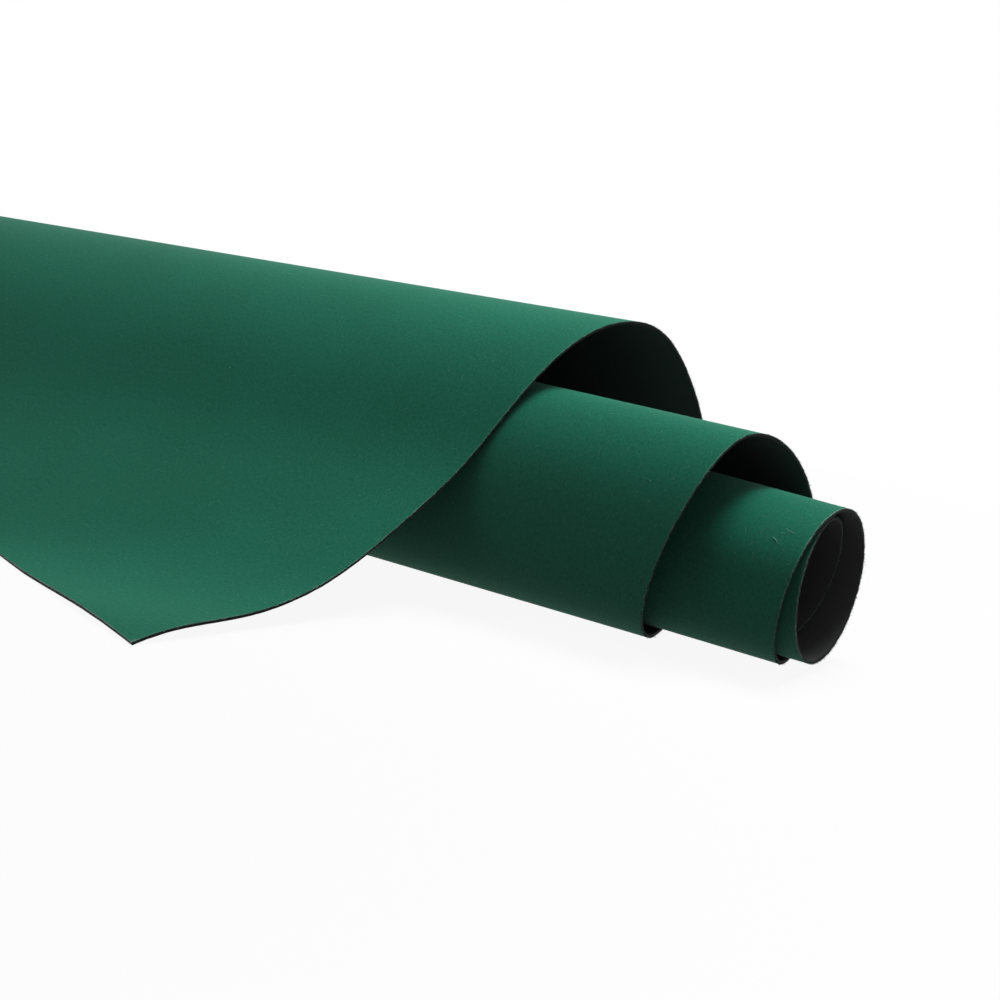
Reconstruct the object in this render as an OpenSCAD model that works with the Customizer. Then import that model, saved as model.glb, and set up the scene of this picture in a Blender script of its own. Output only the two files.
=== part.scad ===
// Roll-out poker table top: a playing cloth bonded to a rubber sheet, wound into a loose roll whose
// inner turns are pushed out to the right, with its loose end lying in front. The cloth is outside.
// The sheet bends but never stretches. Straight rulings cross it from its right edge, and from one
// ruling to the next the sheet turns about the ruling between them, so it still unrolls flat.

/* [Sheet] */
// Length of the sheet laid flat
mat_length = 1800; // [1600:10:2000]
// Width of the sheet laid flat
mat_width = 900; // [700:10:1000]
// Thickness of the playing cloth
cloth_t = 0.4; // [0.2:0.1:0.5]
// Thickness of the rubber backing
rubber_t = 1.6; // [1:0.1:1.9]

/* [Loose end] */
// Right edge from the loose corner to the top of its curl
tip_run = 50; // [40:1:60]
// Right edge from the top of the curl to the toe
curl_run = 50; // [40:1:60]
// Right edge from the toe to where the sheet starts to climb
toe_run = 60; // [50:1:70]
// Right edge from the start of the climb to the slope
climb_run = 60; // [50:1:70]
// Right edge from the slope to its steepest place
slope_run = 60; // [50:1:70]
// Pitch at the loose corner, in degrees above level
tip_pitch = 17; // [12:1:22]
// Pitch at the top of the curl
curl_pitch = 1; // [-3:1:5]
// Pitch at the toe
toe_pitch = 15; // [10:1:20]
// Pitch at the start of the climb
climb_pitch = 37; // [32:1:42]
// Pitch of the slope
slope_pitch = 44; // [38:1:48]
// Pitch at the steepest place
steep_pitch = 59; // [53:1:63]

// Air left under the lowest place of the loose end
loose_air = 0; // [0:0.1:2]

/* [Outer turn] */
// Right edge from the crown to the shoulder, an eighth of a turn
crown_to_shoulder = 56; // [47:1:60]
// Right edge from the shoulder to the back, an eighth of a turn
shoulder_to_back = 101; // [92:1:112]
// Right edge from the back to the floor, a quarter of a turn
back_to_floor = 157; // [150:1:170]
// Width of the flat stretch that rests on the floor
floor_flat = 30; // [20:1:40]
// Right edge from the floor to the front of the second turn, a quarter of a turn
floor_to_front = 109; // [105:1:120]

/* [Second turn] */
// Right edge from the front to the brow, an eighth of a turn
front_to_brow = 78; // [70:1:82]
// Right edge from the brow to the top, an eighth of a turn
brow_to_top = 34; // [30:1:40]
// Right edge from the top to the nape, an eighth of a turn
top_to_nape = 58; // [55:1:65]
// Right edge from the nape to the back, an eighth of a turn
nape_to_back = 63; // [58:1:68]
// Right edge from the back to the belly, a quarter of a turn
back_to_belly = 90; // [84:1:94]

/* [Inner turns] */
// Right edge in the first quarter of the inner turns
inner_quarter = 81; // [77:1:84]
// Clear air between one inner turn and the next
turn_gap = 4.3; // [3.5:0.1:5]

/* [Skew] */
// Right edge between the first places where the lean is set
skew_step = 150; // [145:1:155]
// Lean of the ruling at the loose corner, in degrees from square to the right edge
tip_skew = 22; // [18:1:26]
// Lean of the ruling at the toe
toe_skew = 26; // [22:1:30]
// Lean of the ruling on the slope
slope_skew = 20; // [17:1:23]
// Lean of the ruling at the crown
crown_skew = 16; // [14:1:18]
// Lean of the ruling at the back
back_skew = 10; // [8:1:12]
// Lean of the ruling on the floor
floor_skew = 16; // [15:1:19]
// Lean of the ruling at the front of the second turn
front_skew = 12; // [10:1:14]
// Lean of the ruling at the back of the second turn
second_skew = 10; // [8:1:12]
// Lean of the ruling on the inner turns
inner_skew = 2; // [0:1:4]
// Lean of the ruling at the inner end
end_skew = -10; // [-12:1:-6]

/* [Hidden] */

// Widest step along the right edge between rulings
ring_step = 7.5;
// Width left at the two corners where a ruling shrinks to nothing
corner_land = 0.5;
// Quarters of inner turns laid out, more than the sheet is long
inner_quarters = 16;
// Halvings that find the ruling through a corner
halvings = 40;

sheet_t = cloth_t + rubber_t;
quarter_loss = PI / 8 * (sheet_t + turn_gap);
loose_runs = [tip_run, curl_run, toe_run, climb_run, slope_run];
wound_runs = concat(
    [crown_to_shoulder, shoulder_to_back, back_to_floor, floor_flat, floor_to_front],
    [front_to_brow, brow_to_top, top_to_nape, nape_to_back, back_to_belly],
    [for (i = [0:inner_quarters - 1]) inner_quarter - i * quarter_loss]
);
bend_turns = concat(
    [tip_pitch, curl_pitch, toe_pitch, climb_pitch, slope_pitch, steep_pitch],
    [0, -45, -90, -180, -180, -270],
    [-315, -360, -405, -450, -540],
    [for (i = [1:inner_quarters]) -540 - 90 * i]
);

skews = [
    tip_skew, toe_skew, slope_skew, crown_skew, back_skew,
    floor_skew, front_skew, second_skew, inner_skew, end_skew
];
skew_at = skew_step * [0, 1, 2, 3, 4, 5, 6, 22 / 3, 28 / 3, 12];

// Sum of the first values of a list
function total(values, count) = count == 0 ? 0 : values[count - 1] + total(values, count - 1);

// Smooth curve through stations that never overshoots them
function secants(x, y) = [for (i = [0:len(x) - 2]) (y[i + 1] - y[i]) / (x[i + 1] - x[i])];
function between(a, b) = a * b > 0 ? 2 * a * b / (a + b) : 0;
function slopes(d) = [d[0], for (i = [1:len(d) - 1]) between(d[i - 1], d[i]), d[len(d) - 1]];
function stretch(x, s) = max([0, for (i = [1:len(x) - 2]) if (s > x[i]) i]);
function eased(x, y, m, s) =
    let (i = stretch(x, s), h = x[i + 1] - x[i], t = (s - x[i]) / h)
    (1 + 2 * t) * pow(1 - t, 2) * y[i] + t * pow(1 - t, 2) * h * m[i]
    + t * t * (3 - 2 * t) * y[i + 1] + t * t * (t - 1) * h * m[i + 1];

skew_slopes = slopes(secants(skew_at, skews));
function skew(s) = eased(skew_at, skews, skew_slopes, min(s, skew_at[len(skew_at) - 1]));

// Bends of the whole sheet for a given run from the steepest place up to the crown
function bends_for(climb) =
    let (
        runs = concat(loose_runs, [climb], wound_runs),
        at = [for (i = [0:len(runs)]) total(runs, i)]
    )
    [at, slopes(secants(at, bend_turns))];
function turn(bends, s) = eased(bends[0], bend_turns, bends[1], s);
function floor_place(bends) = bends[0][len(loose_runs) + 4];

// A frame is a point of the right edge, the edge's direction and the direction across to the left
function ruling(frame, lean) = cos(lean) * frame[2] - sin(lean) * frame[1];
function normal(frame) = cross(frame[1], frame[2]);
function swung(v, axis, angle) =
    cos(angle) * v + sin(angle) * cross(axis, v) + (1 - cos(angle)) * (axis * v) * axis;
function moved(bends, frame, from, to) =
    let (
        axis = ruling(frame, skew((from + to) / 2)),
        angle = turn(bends, from) - turn(bends, to),
        along = swung(frame[1], axis, angle),
        across = swung(frame[2], axis, angle)
    )
    [frame[0] + (to - from) / 2 * (frame[1] + along), along, across];
loose_frame = [[0, 0, 0], [0, 1, 0], [-1, 0, 0]];
function course(bends, at) = [
    for (
        i = 0, f = loose_frame;
        i < len(at);
        f = i < len(at) - 1 ? moved(bends, f, at[i], at[i + 1]) : f, i = i + 1
    ) f
];
function steps(from, to) =
    let (count = ceil((to - from) / ring_step))
    [for (i = [0:count - 1]) from + i * (to - from) / count];

// Run up to the crown at which the loose end lies on the floor
function loose_height(climb) =
    let (
        bends = bends_for(climb),
        way = course(bends, concat(steps(0, floor_place(bends)), [floor_place(bends)])),
        ground = way[len(way) - 1],
        up = -normal(ground)
    )
    min([
        for (f = [for (i = [0:floor(total(loose_runs, len(loose_runs)) / ring_step)]) way[i]])
            (f[0] - rubber_t * normal(f) - ground[0]) * up + cloth_t
    ]);
function climb_between(short, long, left) =
    let (mid = (short + long) / 2)
    left == 0 ? mid
    : loose_height(mid) > loose_air ? climb_between(mid, long, left - 1)
    : climb_between(short, mid, left - 1);
steep_to_crown = climb_between(slope_run, 5 * slope_run, halvings / 2);
bends = bends_for(steep_to_crown);
floor_at = floor_place(bends);

// Width of sheet that a ruling crosses before it meets a side or an end of the sheet
function reach(s) =
    let (lean = tan(skew(s)), run = lean > 0 ? s : mat_length - s)
    max(corner_land, min(mat_width, lean == 0 ? mat_width : run / abs(lean)));

// Place on the right edge whose ruling passes through the left corner of an end
function corner(short, full, left) =
    let (mid = (short + full) / 2)
    left == 0 ? full
    : reach(mid) < mat_width ? corner(mid, full, left - 1) : corner(short, mid, left - 1);
loose_corner = corner(0, floor_at, halvings);
inner_corner = corner(mat_length, floor_at, halvings);

// Rulings, with one through each left corner
stations = concat(
    steps(0, loose_corner),
    steps(loose_corner, inner_corner),
    steps(inner_corner, mat_length),
    [mat_length]
);
rings = len(stations);

frames = course(bends, stations);
leans = [for (s = stations) skew(s)];
spans = [for (i = [0:rings - 1]) reach(stations[i]) / cos(leans[i])];

// The part stands on its flat stretch, with the rulings there along X
floor_ring = [for (i = [0:rings - 1]) if (stations[i] >= floor_at) i][0];
floor_frame = frames[floor_ring];
x_axis = -ruling(floor_frame, skew(floor_at + floor_flat / 2));
z_axis = -normal(floor_frame);
y_axis = cross(z_axis, x_axis);
function stood(p) = [p * x_axis, p * y_axis, p * z_axis];

// Ends of ruling i on the face that lies a height above the bond
function ruling_ends(i, height) =
    let (right = frames[i][0] + height * normal(frames[i]))
    [stood(right), stood(right + spans[i] * ruling(frames[i], leans[i]))];
outline = [
    for (i = [0:rings - 1], height = [cloth_t, -rubber_t])
        each ruling_ends(i, height)
];
low = [for (k = [0:2]) min([for (p = outline) p[k]])];
high = [for (k = [0:2]) max([for (p = outline) p[k]])];
base = [(low[0] + high[0]) / 2, (low[1] + high[1]) / 2, low[2]];

// Clear air from points of the sheet to the rulings of the turns next to them
function line_gap(p, ends) =
    let (way = ends[1] - ends[0], t = (p - ends[0]) * way / (way * way))
    norm(p - ends[0] - max(0, min(1, t)) * way);
bond = [for (i = [0:rings - 1]) ruling_ends(i, 0)];
turned = [for (s = stations) turn(bends, s)];
half_turn = 180;
turn_air = min([
    for (i = [0:rings - 1], t = [0, 0.5, 1], j = [0:rings - 1])
        if (abs(turned[i] - turned[j]) > half_turn)
            line_gap((1 - t) * bond[i][0] + t * bond[i][1], bond[j])
]) - sheet_t;
echo(least_air_between_turns = turn_air, steep_to_crown = steep_to_crown, size = high - low);

// One ply of the sheet, between two heights above the bond. Each ruling is a ring of four corners.
module ply(bottom, top) {
    corners = [
        for (i = [0:rings - 1])
            let (upper = ruling_ends(i, top), lower = ruling_ends(i, bottom))
            each [upper[0] - base, upper[1] - base, lower[1] - base, lower[0] - base]
    ];
    walls = [
        for (i = [0:rings - 2], k = [0:3])
            let (
                a = 4 * i + k,
                b = 4 * i + (k + 1) % 4,
                c = b + 4,
                d = a + 4
            )
            each k < 2 ? [[a, b, c], [a, c, d]] : [[a, b, d], [b, c, d]]
    ];
    last = 4 * (rings - 1);
    loose_end = [[1, 0, 3], [1, 3, 2]];
    inner_end = [[last, last + 1, last + 2], [last, last + 2, last + 3]];
    polyhedron(corners, concat(walls, loose_end, inner_end), convexity = 12);
}

// Green playing cloth, the face that cards slide on
module cloth_face() {
    color("#1d6a50") ply(0, cloth_t);
}

// Black rubber that grips the table under the cloth
module rubber_backing() {
    color("#1b1f1e") ply(-rubber_t, 0);
}

cloth_face();
rubber_backing();
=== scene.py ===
import math

import bmesh
import bpy
import numpy as np
from mathutils import Matrix, Vector


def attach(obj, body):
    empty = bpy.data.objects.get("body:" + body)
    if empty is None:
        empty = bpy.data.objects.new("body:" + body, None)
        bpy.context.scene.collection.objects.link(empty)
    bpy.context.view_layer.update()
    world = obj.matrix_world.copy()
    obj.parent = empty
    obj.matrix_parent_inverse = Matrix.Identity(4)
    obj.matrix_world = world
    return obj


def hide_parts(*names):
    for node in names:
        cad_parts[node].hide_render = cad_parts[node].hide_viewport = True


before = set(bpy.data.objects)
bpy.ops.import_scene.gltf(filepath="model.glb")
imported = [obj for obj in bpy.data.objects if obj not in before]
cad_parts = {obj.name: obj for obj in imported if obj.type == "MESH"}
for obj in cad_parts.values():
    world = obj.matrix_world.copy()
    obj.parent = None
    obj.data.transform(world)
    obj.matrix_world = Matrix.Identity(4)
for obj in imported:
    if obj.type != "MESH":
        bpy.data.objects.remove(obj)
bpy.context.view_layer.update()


# Rubber backing. A sheet of fine-celled black rubber, 1.6 mm thick, that grips the table under the
# cloth. It is made flat, cut with the cloth to 1800 by 900 mm, and wound up with the cloth outside.
# The winding is given in millimetres and degrees along the sheet's right edge, from its loose corner.
sheet_length = 1.8
sheet_width = 0.9
rubber_thickness = 0.0016
cloth_thickness = 0.0004
turn_spacing = 6.3

loose_runs = [50, 50, 60, 60, 60, 139.1]
outer_runs = [56, 101, 157, 30, 109]
second_runs = [78, 34, 58, 63, 90]
inner_runs = [81 - quarter * math.pi / 8 * turn_spacing for quarter in range(9)]
bend_places = np.cumsum([0] + loose_runs + outer_runs + second_runs + inner_runs)
loose_pitches = [17, 1, 15, 37, 44, 59]
outer_turns = [0, -45, -90, -180, -180, -270]
second_turns = [-315, -360, -405, -450, -540]
inner_turns = [-630 - 90 * quarter for quarter in range(9)]
bend_turns = np.array(loose_pitches + outer_turns + second_turns + inner_turns, float)
lean_places = 150 * np.array([0, 1, 2, 3, 4, 5, 6, 22 / 3, 28 / 3, 12])
leans = np.array([22, 26, 20, 16, 10, 16, 12, 10, 2, -10], float)
floor_place = 748
fold_passes = 40


def eased(places, values, at):
    """A smooth curve through the values that never overshoots them."""
    secant = np.diff(values) / np.diff(places)
    before, after = secant[:-1], secant[1:]
    same_way = before * after > 0
    inner_slope = np.zeros(len(before))
    inner_slope[same_way] = (2 * before * after)[same_way] / (before + after)[same_way]
    slope = np.concatenate([secant[:1], inner_slope, secant[-1:]])
    i = np.clip(np.searchsorted(places, at) - 1, 0, len(places) - 2)
    run = places[i + 1] - places[i]
    t = (at - places[i]) / run
    return (
        (1 + 2 * t) * (1 - t) ** 2 * values[i]
        + t * (1 - t) ** 2 * run * slope[i]
        + t * t * (3 - 2 * t) * values[i + 1]
        + t * t * (t - 1) * run * slope[i + 1]
    )


edge_places = np.arange(0, 1000 * sheet_length + 1)
edge_turns = np.radians(eased(bend_places, bend_turns, edge_places))
edge_leans = np.radians(eased(lean_places, leans, edge_places))
step_leans = np.radians(eased(lean_places, leans, edge_places[:-1] + 0.5))
point, along, across = Vector((0, 0, 0)), Vector((0, 1, 0)), Vector((-1, 0, 0))
course = [(*point, *along, *across)]
for step, lean in enumerate(step_leans):
    fold_line = math.cos(lean) * across - math.sin(lean) * along
    swing = Matrix.Rotation(edge_turns[step] - edge_turns[step + 1], 3, fold_line)
    point = point + 0.5 * (along + swing @ along)
    along, across = swing @ along, swing @ across
    course.append((*point, *along, *across))
course = np.array(course).reshape(-1, 3, 3)

floor_along, floor_across = Vector(course[floor_place, 1]), Vector(course[floor_place, 2])
floor_lean = edge_leans[floor_place]
roll_x = math.sin(floor_lean) * floor_along - math.cos(floor_lean) * floor_across
roll_z = -floor_along.cross(floor_across)
roll_y = roll_z.cross(roll_x)
course = course @ np.array([roll_x, roll_y, roll_z]).T


def wound(flat):
    """Where points of the flat sheet lie in the roll. A row of flat is length, width and height."""
    length, width = 1000 * flat[:, 0], 1000 * flat[:, 1]
    # The fold line through a point leaves the right edge at this place, which each pass brings closer.
    at = length
    for closer in range(fold_passes):
        at = length + width * np.tan(np.interp(at, edge_places, edge_leans))
    lean = np.interp(at, edge_places, edge_leans)[:, None]
    start, forward, leftward = (
        np.stack([np.interp(at, edge_places, course[:, part, k]) for k in range(3)], axis=1)
        for part in range(3)
    )
    line = np.cos(lean) * leftward - np.sin(lean) * forward
    face = np.cross(forward, leftward)
    return (start + width[:, None] / np.cos(lean) * line) / 1000 + flat[:, 2:] * face


facets_along, facets_across = 600, 66
rim_share = np.linspace(0, 1, facets_along + 1)
rim_sides = [(share * sheet_length, width) for share in rim_share for width in (0, sheet_width)]
rim_ends = [(length, share * sheet_width) for share in rim_share for length in (0, sheet_length)]
rim_heights = (-rubber_thickness, cloth_thickness)
rim_points = wound(np.array([(*at, h) for at in rim_sides + rim_ends for h in rim_heights]))
seat = (rim_points.min(0) + rim_points.max(0)) / 2
seat[2] = rim_points[:, 2].min()

usual_nick = 0.00011
deepest_nick = 0.00025
cut_nicks = np.random.default_rng(5).normal(0, usual_nick, len(edge_places))
cut_nicks = np.clip(cut_nicks, -deepest_nick, deepest_nick)
cut_tolerance = 0.00001
sharp_angle = math.radians(50)


def put_in_scene(name, data):
    """A new object at the origin that holds a mesh, a curve, a lamp or a camera."""
    made = bpy.data.objects.new(name, data)
    bpy.context.collection.objects.link(made)
    return made


def wound_ply(name, low, high):
    """One ply: a flat grid given its thickness, then wound, with its flat places kept as a UV map."""
    bm = bmesh.new()
    bmesh.ops.create_grid(bm, x_segments=facets_along, y_segments=facets_across, size=0.5)
    bmesh.ops.translate(bm, verts=bm.verts, vec=(0.5, 0.5, 0))
    bmesh.ops.scale(bm, verts=bm.verts, vec=(sheet_length, sheet_width, 1))
    upper = bmesh.ops.extrude_face_region(bm, geom=bm.faces[:])["geom"]
    upper = [item for item in upper if isinstance(item, bmesh.types.BMVert)]
    bmesh.ops.translate(bm, verts=upper, vec=(0, 0, high - low))
    bmesh.ops.translate(bm, verts=bm.verts, vec=(0, 0, low))
    bmesh.ops.recalc_face_normals(bm, faces=bm.faces[:])
    mesh = bpy.data.meshes.new(name)
    bm.to_mesh(mesh)
    bm.free()
    flat = np.zeros(3 * len(mesh.vertices))
    mesh.vertices.foreach_get("co", flat)
    flat = flat.reshape(-1, 3)
    corners = np.zeros(len(mesh.loops), int)
    mesh.loops.foreach_get("vertex_index", corners)
    under = flat[corners, 2] < (low + high) / 2
    uv = flat[corners, :2] / sheet_length
    uv[under, 1] += sheet_width / sheet_length
    mesh.uv_layers.new(name="flat").data.foreach_set("uv", uv.ravel())
    sides = [flat[:, 0], sheet_length - flat[:, 0], flat[:, 1], sheet_width - flat[:, 1]]
    rim = mesh.attributes.new("rim", "FLOAT", "POINT")
    rim.data.foreach_set("value", np.min(sides, axis=0))
    for side, size, down_it in ((1, sheet_width, 0), (0, sheet_length, 1)):
        on_cut = np.minimum(flat[:, side], size - flat[:, side]) < cut_tolerance
        flat[on_cut, side] += cut_nicks[np.rint(1000 * flat[on_cut, down_it]).astype(int)]
    mesh.vertices.foreach_set("co", (wound(flat) - seat).ravel())
    mesh.shade_smooth()
    mesh.set_sharp_from_angle(angle=sharp_angle)
    return put_in_scene(name, mesh)


def add_node(tree, kind, **settings):
    """A node with its settings and inputs. An input's name has underscores for its spaces."""
    node = tree.nodes.new(kind)
    for name, value in settings.items():
        socket = node.inputs.get(name.replace("_", " "))
        if socket is None:
            setattr(node, name, value)
        elif isinstance(value, bpy.types.NodeSocket):
            tree.links.new(value, socket)
        else:
            socket.default_value = value
    return node


def worked_out(tree, operation, *values):
    """The result of one sum on numbers or on sockets."""
    node = tree.nodes.new("ShaderNodeMath")
    node.operation = operation
    for socket, value in zip(node.inputs, values):
        if isinstance(value, bpy.types.NodeSocket):
            tree.links.new(value, socket)
        else:
            socket.default_value = value
    return node.outputs[0]


def stepped(tree, value, low, high, at_low, at_high):
    """A smooth step from at_low, where the value is low, to at_high, where it is high."""
    node = add_node(tree, "ShaderNodeMapRange", interpolation_type="SMOOTHSTEP", Value=value)
    for name, number in zip(("From Min", "From Max", "To Min", "To Max"), (low, high, at_low, at_high)):
        node.inputs[name].default_value = number
    return node.outputs["Result"]


def blended(tree, share, first, second):
    """A colour that goes from the first to the second as the share goes from 0 to 1."""
    node = add_node(tree, "ShaderNodeMix", data_type="RGBA")
    tree.links.new(share, node.inputs[0])
    for socket, colour in ((node.inputs[6], first), (node.inputs[7], second)):
        if isinstance(colour, bpy.types.NodeSocket):
            tree.links.new(colour, socket)
        else:
            socket.default_value = (*colour, 1)
    return node.outputs[2]


def new_finish(name):
    """A new material, with its node tree and its surface shader."""
    finish = bpy.data.materials.new(name)
    finish.use_nodes = True
    return finish, finish.node_tree, finish.node_tree.nodes["Principled BSDF"]


def flat_metres(tree):
    """The place on the flat sheet, in metres."""
    place = add_node(tree, "ShaderNodeUVMap", uv_map="flat")
    metres = add_node(tree, "ShaderNodeVectorMath", operation="SCALE", Scale=sheet_length)
    tree.links.new(place.outputs["UV"], metres.inputs[0])
    return metres.outputs[0]


def new_group(name, inputs, outputs):
    """An empty node group with number sockets, and its input and output nodes."""
    group = bpy.data.node_groups.new(name, "ShaderNodeTree")
    for socket, number in inputs.items():
        made = group.interface.new_socket(socket, in_out="INPUT", socket_type="NodeSocketFloat")
        made.default_value = number
    for socket in outputs:
        group.interface.new_socket(socket, in_out="OUTPUT", socket_type="NodeSocketFloat")
    return group, group.nodes.new("NodeGroupInput"), group.nodes.new("NodeGroupOutput")


# The grain that both plies show: fine cells or nap over a slow cloudiness, on the flat sheet.
grain, given, out = new_group(
    "sheet_grain",
    {"Fine Scale": 900.0, "Cloud Scale": 20.0, "Stretch": 1.0},
    ("Fine", "Tone", "Height"),
)
reach = add_node(grain, "ShaderNodeCombineXYZ", X=given.outputs["Stretch"], Y=1.0, Z=1.0)
drawn = add_node(grain, "ShaderNodeVectorMath", operation="MULTIPLY")
grain.links.new(flat_metres(grain), drawn.inputs[0])
grain.links.new(reach.outputs[0], drawn.inputs[1])
fine = add_node(grain, "ShaderNodeTexNoise", Vector=drawn.outputs[0], Detail=2.0, Roughness=0.6)
grain.links.new(given.outputs["Fine Scale"], fine.inputs["Scale"])
cloud = add_node(grain, "ShaderNodeTexNoise", Vector=flat_metres(grain), Detail=3.0, Roughness=0.55)
grain.links.new(given.outputs["Cloud Scale"], cloud.inputs["Scale"])
middling = add_node(grain, "ShaderNodeTexNoise", Vector=flat_metres(grain), Scale=260.0, Detail=2.0)
fine_part = worked_out(grain, "MULTIPLY", fine.outputs[0], 0.65)
light = worked_out(grain, "MULTIPLY_ADD", cloud.outputs[0], 0.35, fine_part)
heap = worked_out(grain, "MULTIPLY_ADD", middling.outputs[0], 0.5, fine.outputs[0])
grain.links.new(fine.outputs[0], out.inputs["Fine"])
grain.links.new(light, out.inputs["Tone"])
grain.links.new(heap, out.inputs["Height"])

rubber_dark = (0.066, 0.067, 0.067)
rubber_light = (0.088, 0.090, 0.090)
rubber_cut = (0.010, 0.011, 0.011)
rubber_cut_band = 0.0007
rubber_black, tree, skin = new_finish("rubber_black")
skin.inputs["Specular IOR Level"].default_value = 0.5
cells = add_node(tree, "ShaderNodeGroup", node_tree=grain, Fine_Scale=1500.0, Cloud_Scale=14.0)
rubber_tone = stepped(tree, cells.outputs["Tone"], 0.3, 0.7, 0, 1)
rubber_colour = blended(tree, rubber_tone, rubber_dark, rubber_light)
rim = add_node(tree, "ShaderNodeAttribute", attribute_name="rim")
off_cut = stepped(tree, rim.outputs["Fac"], 0, rubber_cut_band, 0, 1)
tree.links.new(blended(tree, off_cut, rubber_cut, rubber_colour), skin.inputs["Base Color"])
rubber_matt = stepped(tree, cells.outputs["Fine"], 0.3, 0.7, 0.78, 0.62)
cut_matt = stepped(tree, rim.outputs["Fac"], 0, rubber_cut_band, 1, 0)
tree.links.new(worked_out(tree, "MAXIMUM", rubber_matt, cut_matt), skin.inputs["Roughness"])
pits = cells.outputs["Height"]
pitting = add_node(tree, "ShaderNodeBump", Strength=0.35, Distance=0.0002, Height=pits)
tree.links.new(pitting.outputs[0], skin.inputs["Normal"])

rubber_backing = wound_ply("rubber_sheet", -rubber_thickness, 0)
rubber_backing.data.materials.append(rubber_black)
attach(rubber_backing, "root")
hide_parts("rubber_backing")


# Cloth face. A thin green playing cloth with a short brushed nap, bonded to the rubber all over and
# cut with it, so its edges are raw and show the paler ends of its fibres. Fibres that were pulled out
# of the nap lie on it in short strokes, among darker strokes that are painted shade of the nap's relief.
strokes, given, out = new_group(
    "nap_strokes",
    {"Cells": 90.0, "Seed": 0.0, "Reach": 0.22, "Breadth": 0.016, "Share": 0.5},
    ("Stroke",),
)
bend = add_node(strokes, "ShaderNodeTexNoise", Vector=flat_metres(strokes), Scale=120.0, Detail=0.0)
bent = add_node(strokes, "ShaderNodeVectorMath", operation="MULTIPLY_ADD")
strokes.links.new(bend.outputs["Color"], bent.inputs[0])
bent.inputs[1].default_value = (0.004, 0.004, 0)
strokes.links.new(flat_metres(strokes), bent.inputs[2])
counted = add_node(strokes, "ShaderNodeVectorMath", operation="SCALE", Scale=given.outputs["Cells"])
strokes.links.new(bent.outputs[0], counted.inputs[0])
cell = add_node(strokes, "ShaderNodeVectorMath", operation="FLOOR")
strokes.links.new(counted.outputs[0], cell.inputs[0])
within = add_node(strokes, "ShaderNodeVectorMath", operation="FRACTION")
strokes.links.new(counted.outputs[0], within.inputs[0])
chance = add_node(strokes, "ShaderNodeTexWhiteNoise", noise_dimensions="4D", Vector=cell.outputs[0])
strokes.links.new(given.outputs["Seed"], chance.inputs["W"])
picked = add_node(strokes, "ShaderNodeSeparateXYZ", Vector=chance.outputs["Color"])
middle = add_node(strokes, "ShaderNodeVectorMath", operation="MULTIPLY_ADD")
strokes.links.new(chance.outputs["Color"], middle.inputs[0])
middle.inputs[1].default_value = (0.5, 0.5, 0)
middle.inputs[2].default_value = (0.25, 0.25, 0)
from_middle = add_node(strokes, "ShaderNodeVectorMath", operation="SUBTRACT")
strokes.links.new(within.outputs[0], from_middle.inputs[0])
strokes.links.new(middle.outputs[0], from_middle.inputs[1])
heading = worked_out(strokes, "MULTIPLY", picked.outputs["Z"], math.pi)
turned = add_node(strokes, "ShaderNodeVectorRotate", rotation_type="Z_AXIS", Angle=heading)
strokes.links.new(from_middle.outputs[0], turned.inputs["Vector"])
apart = add_node(strokes, "ShaderNodeSeparateXYZ", Vector=turned.outputs[0])
down_it = worked_out(strokes, "ABSOLUTE", apart.outputs["X"])
down_it = worked_out(strokes, "DIVIDE", down_it, given.outputs["Reach"])
off_it = worked_out(strokes, "ABSOLUTE", apart.outputs["Y"])
off_it = worked_out(strokes, "DIVIDE", off_it, given.outputs["Breadth"])
on_length = stepped(strokes, down_it, 0.6, 1, 1, 0)
on_breadth = stepped(strokes, off_it, 0.2, 1, 1, 0)
is_there = worked_out(strokes, "LESS_THAN", chance.outputs["Value"], given.outputs["Share"])
mark = worked_out(strokes, "MULTIPLY", worked_out(strokes, "MULTIPLY", on_length, on_breadth), is_there)
strokes.links.new(mark, out.inputs["Stroke"])

nap_dark = (0.009, 0.116, 0.069)
nap_light = (0.013, 0.166, 0.101)
# The dark strokes' colour is painted shade of the nap's relief.
stroke_shade_green = (0.004, 0.058, 0.037)
pale_stroke_green = (0.11, 0.33, 0.24)
cloth_cut = (0.27, 0.41, 0.35)
cloth_cut_band = 0.0008
cloth_green, tree, skin = new_finish("cloth_green")
skin.inputs["Specular IOR Level"].default_value = 0.8
nap = add_node(tree, "ShaderNodeGroup", node_tree=grain, Fine_Scale=750.0, Cloud_Scale=9.0, Stretch=0.5)
nap_tone = stepped(tree, nap.outputs["Tone"], 0.3, 0.7, 0, 1)
nap_colour = blended(tree, nap_tone, nap_dark, nap_light)
pale_strokes = add_node(tree, "ShaderNodeGroup", node_tree=strokes, Cells=95.0, Seed=1.0, Share=0.55)
# The dark strokes are painted shade: they stand for the shadowed sides of fibres in the nap's relief.
shade_strokes = add_node(tree, "ShaderNodeGroup", node_tree=strokes, Cells=120.0, Seed=2.0, Breadth=0.025)
stroke_shade_share = worked_out(tree, "MULTIPLY", shade_strokes.outputs["Stroke"], 0.4)
pale_share = worked_out(tree, "MULTIPLY", pale_strokes.outputs["Stroke"], 0.45)
nap_colour = blended(tree, stroke_shade_share, nap_colour, stroke_shade_green)
nap_colour = blended(tree, pale_share, nap_colour, pale_stroke_green)
rim = add_node(tree, "ShaderNodeAttribute", attribute_name="rim")
at_cut = stepped(tree, rim.outputs["Fac"], 0, cloth_cut_band, 1, 0)
patchy = add_node(tree, "ShaderNodeTexNoise", Vector=flat_metres(tree), Scale=28.0, Detail=2.0)
ragged = stepped(tree, nap.outputs["Fine"], 0.35, 0.6, 0.3, 0.9)
ragged = worked_out(tree, "MULTIPLY", ragged, stepped(tree, patchy.outputs[0], 0.38, 0.58, 0.3, 1))
down_sheet = add_node(tree, "ShaderNodeSeparateXYZ", Vector=flat_metres(tree)).outputs["X"]
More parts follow.
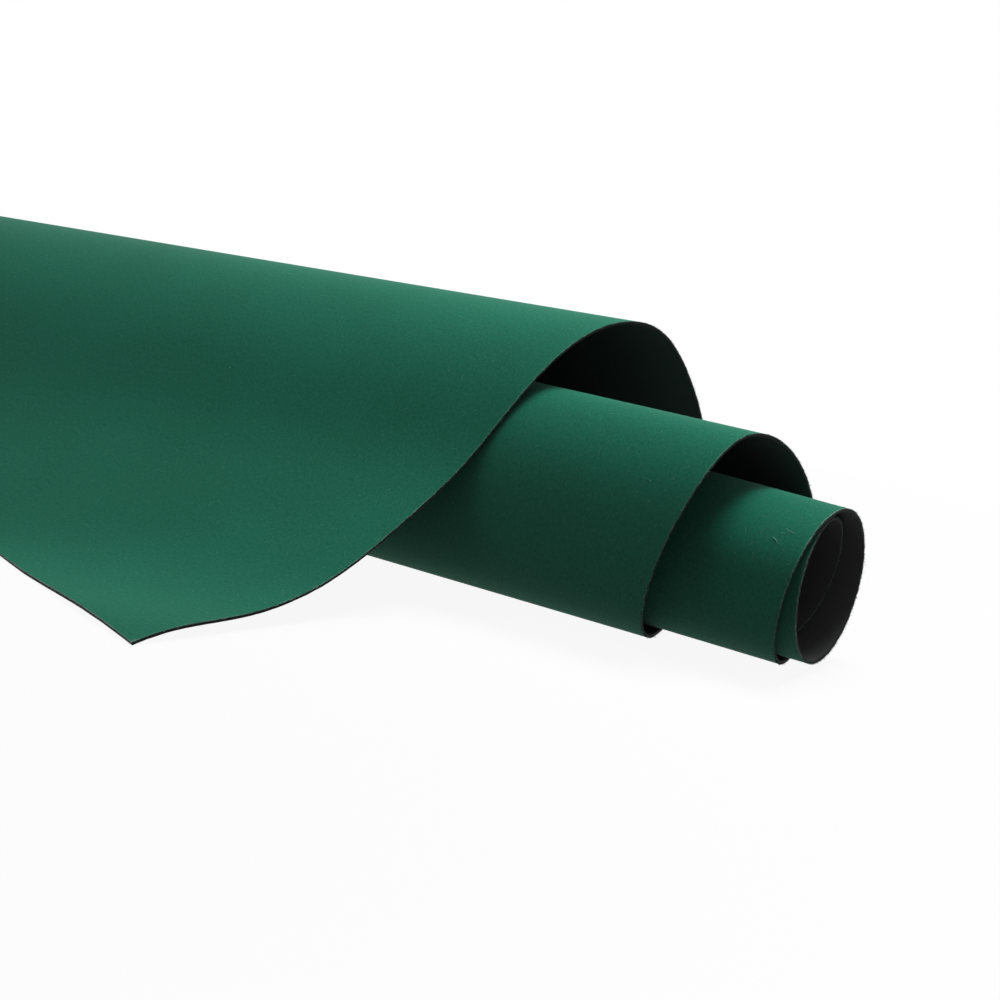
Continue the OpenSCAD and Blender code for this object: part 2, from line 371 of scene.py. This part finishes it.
# The pale cut is scaled along the sheet: more at the loose end than on the outer turn, and most on
# the inner turns, where the extra is a painted highlight of cut fibres catching the light round the
# bore.
cut_paleness_and_highlight = stepped(tree, down_sheet, 0.1, 0.4, 1, 0.7)
cut_paleness_and_highlight = worked_out(tree, "ADD", cut_paleness_and_highlight, stepped(tree, down_sheet, 1.2, 1.4, 0, 0.9))
cut_paleness_and_highlight = worked_out(tree, "ADD", cut_paleness_and_highlight, stepped(tree, down_sheet, 1.4, 1.6, 0, 1.4))
cut_share = worked_out(tree, "MULTIPLY", at_cut, worked_out(tree, "MULTIPLY", ragged, cut_paleness_and_highlight))
cut_share = worked_out(tree, "MINIMUM", cut_share, 1)
tree.links.new(blended(tree, cut_share, nap_colour, cloth_cut), skin.inputs["Base Color"])
tree.links.new(stepped(tree, nap.outputs["Fine"], 0.3, 0.7, 1, 0.93), skin.inputs["Roughness"])
raised = worked_out(tree, "MULTIPLY_ADD", pale_strokes.outputs["Stroke"], 0.5, nap.outputs["Height"])
brushing = add_node(tree, "ShaderNodeBump", Strength=0.5, Distance=0.0003, Height=raised)
tree.links.new(brushing.outputs[0], skin.inputs["Normal"])

cloth_face = wound_ply("playing_cloth", 0, cloth_thickness)
cloth_face.data.materials.append(cloth_green)
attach(cloth_face, "root")
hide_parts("cloth_face")


# Cut fibres. The ends of the cloth's fibres, which the knife left standing out of all four edges.
# Each is a fine thread rooted in the cloth's cut face, and most stand out by less than a millimetre.
fibre_thickness = 0.00015
fibre_root = 0.0003
fibre_lowest = 0.00008
shortest_fibre = 0.00045
usual_extra = 0.0003
longest_fibre = 0.0018
usual_slant = 0.7
mean_lift = 0.1
lift_spread = 0.35
fibre_dyed = (0.06, 0.20, 0.14)
fibre_bare = (0.40, 0.52, 0.46)
# An edge has its two corners, the way out from it, and a count of fibres.
fibre_edges = [
    ((0, 0), (sheet_length, 0), (0, -1), 7000),
    ((0, sheet_width), (sheet_length, sheet_width), (0, 1), 2600),
    ((0, 0), (0, sheet_width), (-1, 0), 1500),
    ((sheet_length, 0), (sheet_length, sheet_width), (1, 0), 1200),
]


def thread_breadths(count):
    """How broad each of some threads is. Half are thin, and a few are two that lie together."""
    return np.random.default_rng(3).choice((0.7, 1, 2), count, p=(0.5, 0.4, 0.1))


def wound_threads(name, threads, thickness, breadths):
    """Fine threads as one mesh, from an array of threads by points by flat place.

    A point past the cut lies straight opposite its mirror image inside the cut.
    """
    flat = threads.reshape(-1, 3)
    inside = flat.copy()
    inside[:, :2] = np.clip(flat[:, :2], 0, (sheet_length, sheet_width))
    places = 2 * wound(inside) - wound(2 * inside - flat) - seat
    places[:, 2] = np.maximum(places[:, 2], thickness)
    places = places.reshape(threads.shape)
    drawing = bpy.data.curves.new(name, "CURVE")
    drawing.dimensions = "3D"
    drawing.bevel_depth = thickness / 2
    drawing.bevel_resolution = 0
    taper = np.linspace(1, 0.5, threads.shape[1])
    for thread, broad in zip(places, breadths):
        spline = drawing.splines.new("POLY")
        spline.points.add(len(thread) - 1)
        spline.points.foreach_set("co", np.column_stack([thread, np.ones(len(thread))]).ravel())
        spline.points.foreach_set("radius", broad * taper)
    holder = put_in_scene(name, drawing)
    depsgraph = bpy.context.evaluated_depsgraph_get()
    mesh = bpy.data.meshes.new_from_object(holder.evaluated_get(depsgraph))
    bpy.data.objects.remove(holder)
    bpy.data.curves.remove(drawing)
    mesh.name = name
    return put_in_scene(name, mesh)


draw = np.random.default_rng(11)
fibres = []
for start, end, outward, count in fibre_edges:
    start, end, outward = (np.array((*at, 0), float) for at in (start, end, outward))
    sideways = (end - start) / np.linalg.norm(end - start)
    root = start + draw.uniform(0, 1, (count, 1)) * (end - start) - fibre_root * outward
    root[:, 2] = draw.uniform(fibre_lowest, cloth_thickness, count)
    length = shortest_fibre + draw.exponential(usual_extra, (count, 1))
    length = np.minimum(length, longest_fibre)
    slant = draw.normal(0, usual_slant, (count, 1))
    lift = draw.normal(mean_lift, lift_spread, (count, 1)) * (0, 0, 1)
    bowed = root + length * (0.5 * outward + 0.3 * slant * sideways + 0.5 * lift)
    tip = root + length * (outward + slant * sideways + 0.6 * lift)
    fibres.append(np.stack([root, bowed, tip], axis=1))


def thread_finish(name, roughness, scale, low, high, dyed_colour, bare_colour):
    """A dull finish for threads, in patches of two colours that meet from low to high of a noise."""
    finish, tree, skin = new_finish(name)
    skin.inputs["Roughness"].default_value = roughness
    skin.inputs["Specular IOR Level"].default_value = 0.2
    spot = tree.nodes.new("ShaderNodeTexCoord")
    dye = add_node(tree, "ShaderNodeTexNoise", Vector=spot.outputs["Object"], Scale=scale, Detail=1.0)
    faded = stepped(tree, dye.outputs[0], low, high, 0, 1)
    tree.links.new(blended(tree, faded, dyed_colour, bare_colour), skin.inputs["Base Color"])
    return finish


fibre_green = thread_finish("fibre_green", 0.85, 700.0, 0.42, 0.6, fibre_dyed, fibre_bare)
fibres = np.concatenate(fibres)
cut_fibres = wound_threads("cut_fibres", fibres, fibre_thickness, thread_breadths(len(fibres)))
cut_fibres.data.materials.append(fibre_green)
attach(cut_fibres, "root")


# Stray lint. Loose pale strands that cling to the nap, most of them near the right edge and on the
# inner turns that stand out there. They lie on the cloth, and some arch off it in the middle. A zone
# has a count, a stretch of the sheet, and how far in from the right edge the strands usually lie.
lint_thickness = 0.00009
shortest_strand = 0.001
usual_strand_extra = 0.0016
longest_strand = 0.006
least_from_edge = 0.002
highest_arch = 0.00025
strand_bends = 4
usual_bend = 0.28
lint_dyed = (0.07, 0.24, 0.165)
lint_bare = (0.30, 0.56, 0.46)
lint_zones = [
    (180, (1.29, 1.39), 0.03),
    (220, (0, sheet_length), 0.02),
    (120, (0.90, 1.02), 0.08),
    (420, (0, sheet_length), 0.6),
]
# A placed strand has its place along and across the sheet, heading, length, and breadth in threads.
placed_lint = [
    (1.3080, 0.0198, -1.98, 0.0054, 6),
    (1.3127, 0.0173, -1.94, 0.0052, 2),
    (1.3162, 0.0160, -2.05, 0.0030, 4),
    (1.3157, 0.0138, -1.23, 0.0045, 3),
    (0.2110, 0.2100, 0.80, 0.0014, 8),
]

lint = [np.array(placed_lint)]
for count, (low, high), spread in lint_zones:
    length_place = draw.uniform(low, high, count)
    from_edge = draw.exponential(spread, count) + least_from_edge
    width_place = np.minimum(from_edge, draw.uniform(0, sheet_width, count))
    heading = draw.uniform(0, math.pi, count)
    reach = draw.exponential(usual_strand_extra, count) + shortest_strand
    reach = np.minimum(reach, longest_strand)
    lint.append(np.column_stack([length_place, width_place, heading, reach, thread_breadths(count)]))
lint = np.concatenate(lint)
curl = draw.normal(0, usual_bend, (len(lint), strand_bends)).cumsum(axis=1)
steps = lint[:, 3:4] / strand_bends
run = np.column_stack([np.zeros(len(lint)), (steps * np.cos(lint[:, 2:3] + curl)).cumsum(axis=1)])
rise = np.column_stack([np.zeros(len(lint)), (steps * np.sin(lint[:, 2:3] + curl)).cumsum(axis=1)])
arch = np.array([0, 0.5, 1, 0.5, 0]) * draw.uniform(0, highest_arch, (len(lint), 1))
strands = np.stack(
    [
        np.clip(lint[:, :1] + run, 0, sheet_length),
        np.clip(lint[:, 1:2] + rise, 0, sheet_width),
        cloth_thickness + lint[:, 4:5] * lint_thickness / 2 + arch,
    ],
    axis=2,
)

lint_pale = thread_finish("lint_pale", 0.9, 130.0, 0.3, 0.55, lint_dyed, lint_bare)
stray_lint = wound_threads("stray_lint", strands, lint_thickness, lint[:, 4])
stray_lint.data.materials.append(lint_pale)
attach(stray_lint, "root")


# Floor. A plain white sweep that the roll lies on. The camera sees it white, with the roll's shadow.
floor_reach = 6
floor_mesh = bpy.data.meshes.new("floor")
bm = bmesh.new()
bmesh.ops.create_grid(bm, x_segments=1, y_segments=1, size=floor_reach)
bm.to_mesh(floor_mesh)
bm.free()
floor = put_in_scene("floor", floor_mesh)


def seen_straight(tree):
    """1 for what the camera sees straight, in a reflection or through glass, and 0 for the rest."""
    path = tree.nodes.new("ShaderNodeLightPath").outputs
    seen = worked_out(tree, "MAXIMUM", path["Is Camera Ray"], path["Is Glossy Ray"])
    return worked_out(tree, "MAXIMUM", seen, path["Is Transmission Ray"])


white_sweep, tree, plain_skin = new_finish("white_sweep")
tree.nodes.remove(plain_skin)
shade = add_node(tree, "ShaderNodeBsdfDiffuse", Color=(0.9, 0.9, 0.9, 1))
bounce = add_node(tree, "ShaderNodeBsdfDiffuse", Color=(0.04, 0.04, 0.04, 1))
glow = add_node(tree, "ShaderNodeEmission", Color=(1, 1, 1, 1), Strength=1.0)
spot = tree.nodes.new("ShaderNodeTexCoord")
away = add_node(tree, "ShaderNodeVectorMath", operation="LENGTH")
tree.links.new(spot.outputs["Object"], away.inputs[0])
shown = tree.nodes.new("ShaderNodeMixShader")
tree.links.new(stepped(tree, away.outputs["Value"], 0.5, 1.1, 0.92, 1), shown.inputs[0])
tree.links.new(shade.outputs[0], shown.inputs[1])
tree.links.new(glow.outputs[0], shown.inputs[2])
whole = tree.nodes.new("ShaderNodeMixShader")
tree.links.new(seen_straight(tree), whole.inputs[0])
tree.links.new(bounce.outputs[0], whole.inputs[1])
tree.links.new(shown.outputs[0], whole.inputs[2])
tree.links.new(whole.outputs[0], tree.nodes["Material Output"].inputs["Surface"])
floor_mesh.materials.append(white_sweep)


# Light. A soft box overhead, to the right and behind, a weak card high at the front left, and a faint
# even fill. The lamps are hidden from reflections, which show the white surround only.
world = bpy.data.worlds.new("studio")
bpy.context.scene.world = world
world.use_nodes = True
tree = world.node_tree
fill = tree.nodes["Background"]
fill.inputs["Color"].default_value = (1, 1, 1, 1)
fill.inputs["Strength"].default_value = 0.03
backdrop = add_node(tree, "ShaderNodeBackground", Color=(1, 1, 1, 1), Strength=1.0)
sky = tree.nodes.new("ShaderNodeMixShader")
tree.links.new(seen_straight(tree), sky.inputs[0])
tree.links.new(fill.outputs[0], sky.inputs[1])
tree.links.new(backdrop.outputs[0], sky.inputs[2])
tree.links.new(sky.outputs[0], tree.nodes["World Output"].inputs["Surface"])


def area_lamp(name, size, energy, place, aim):
    """A square lamp that faces a point and doesn't show in reflections."""
    light = bpy.data.lights.new(name, "AREA")
    light.size = size
    light.energy = energy
    lamp = put_in_scene(name, light)
    lamp.location = place
    lamp.rotation_euler = (Vector(aim) - lamp.location).to_track_quat("-Z", "Y").to_euler()
    lamp.visible_glossy = False


area_lamp("soft_box", size=0.42, energy=15.3, place=(0.55, 0.4, 1.24), aim=(0.9, 0, 0))
area_lamp("front_card", size=1.2, energy=7.6, place=(-0.7, -0.9, 1.6), aim=(0, 0, 0.1))


# Camera. It looks at the pushed-out end of the roll from the front right, low over the floor. It is set
# by three angles in radians and by where the sheet's loose corner shows in a frame of 1000 by 1000.
frame_size = 1000
focal_pixels = 1234.24
centre_pixel = (455.0, 542.95)
corner_pixel = (131.5, 643.0)
corner_depth = 0.68179
turn, dip, tilt = 0.684941, 0.220398, 0.09001
ahead = Vector((-math.sin(turn) * math.cos(dip), math.cos(turn) * math.cos(dip), -math.sin(dip)))
level = Vector((math.cos(turn), math.sin(turn), 0))
upright = level.cross(ahead)
right = level * math.cos(tilt) + upright * math.sin(tilt)
top = upright * math.cos(tilt) - level * math.sin(tilt)
loose_corner = Vector(wound(np.zeros((1, 3)))[0] - seat)
ray = ahead + right * (corner_pixel[0] - centre_pixel[0]) / focal_pixels
ray = ray - top * (corner_pixel[1] - centre_pixel[1]) / focal_pixels
lens = bpy.data.cameras.new("camera")
lens.sensor_width = 36
lens.lens = focal_pixels * lens.sensor_width / frame_size
lens.shift_x = 0.5 - centre_pixel[0] / frame_size
lens.shift_y = centre_pixel[1] / frame_size - 0.5
lens.clip_start = 0.01
camera = put_in_scene("camera", lens)
axes = Matrix((right, top, -ahead)).transposed().to_4x4()
camera.matrix_world = Matrix.Translation(loose_corner - corner_depth * ray) @ axes
bpy.context.scene.camera = camera
bpy.context.scene.view_settings.view_transform = "Standard"
